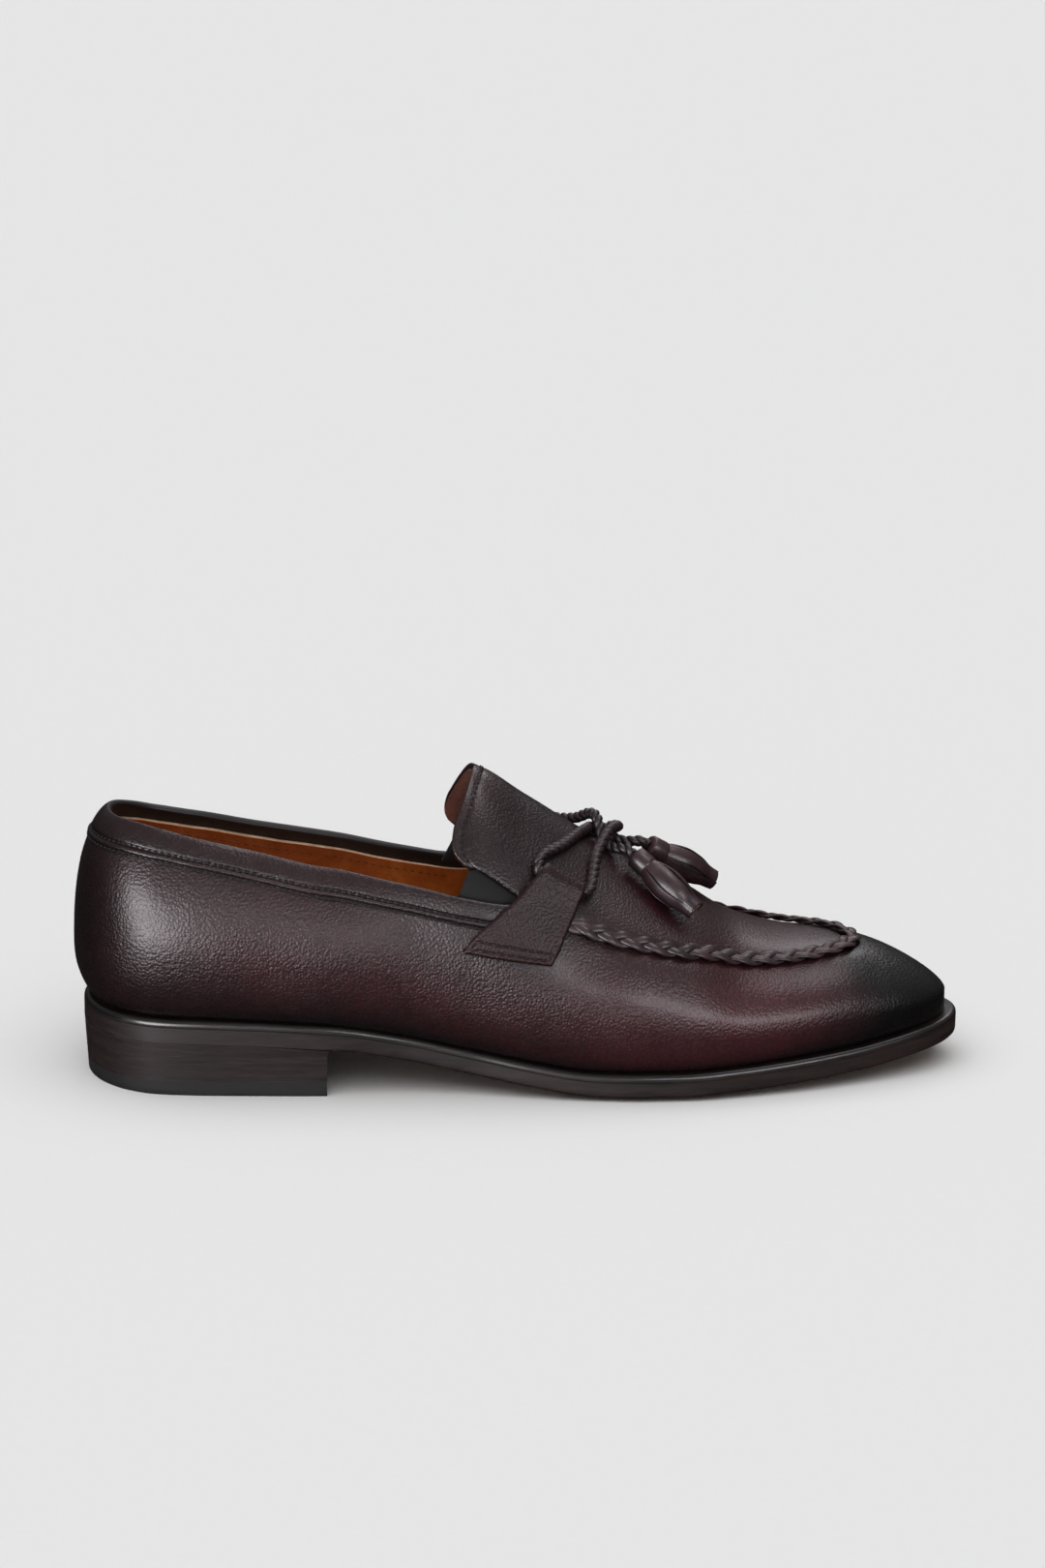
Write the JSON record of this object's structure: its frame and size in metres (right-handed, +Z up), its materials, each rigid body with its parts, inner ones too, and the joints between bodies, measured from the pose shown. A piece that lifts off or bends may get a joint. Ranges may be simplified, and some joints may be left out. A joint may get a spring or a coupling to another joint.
{
  "type": "leather tassel loafer",
  "caption": "Slip-on leather shoe for the right foot with a tongue, braided apron, saddle tabs, a tied cord with tassels and a stacked heel.",
  "frame": {"origin": "on the floor, under the middle of the heel's length and on the shoe's middle line", "axes": "+X to the toe, +Y to the inner side of the foot, +Z up"},
  "size_m": [0.3029, 0.0975, 0.1044],
  "materials": {
    "calf_leather": "polished dark burgundy calf",
    "cord_leather": "waxed dark leather lace",
    "welt_leather": "burnished edge",
    "sole_leather": "stained matte edge",
    "sock_leather": "natural tan lining leather",
    "elastic": "fine woven elastic",
    "top_piece_rubber": "matte"
  },
  "bodies": {
    "root": {"heel_top_piece": "top_piece_rubber", "heel_lift_1": "sole_leather", "heel_lift_2": "sole_leather", "heel_lift_3": "sole_leather", "outsole": "sole_leather", "welt": "welt_leather", "insole": "sock_leather", "upper": "calf_leather", "gore_outer": "elastic", "gore_inner": "elastic", "tab_outer": "calf_leather", "tab_inner": "calf_leather", "braid": "calf_leather", "cord": "cord_leather", "tassel_outer": "cord_leather", "tassel_inner": "cord_leather"}
  },
  "joints": []
}
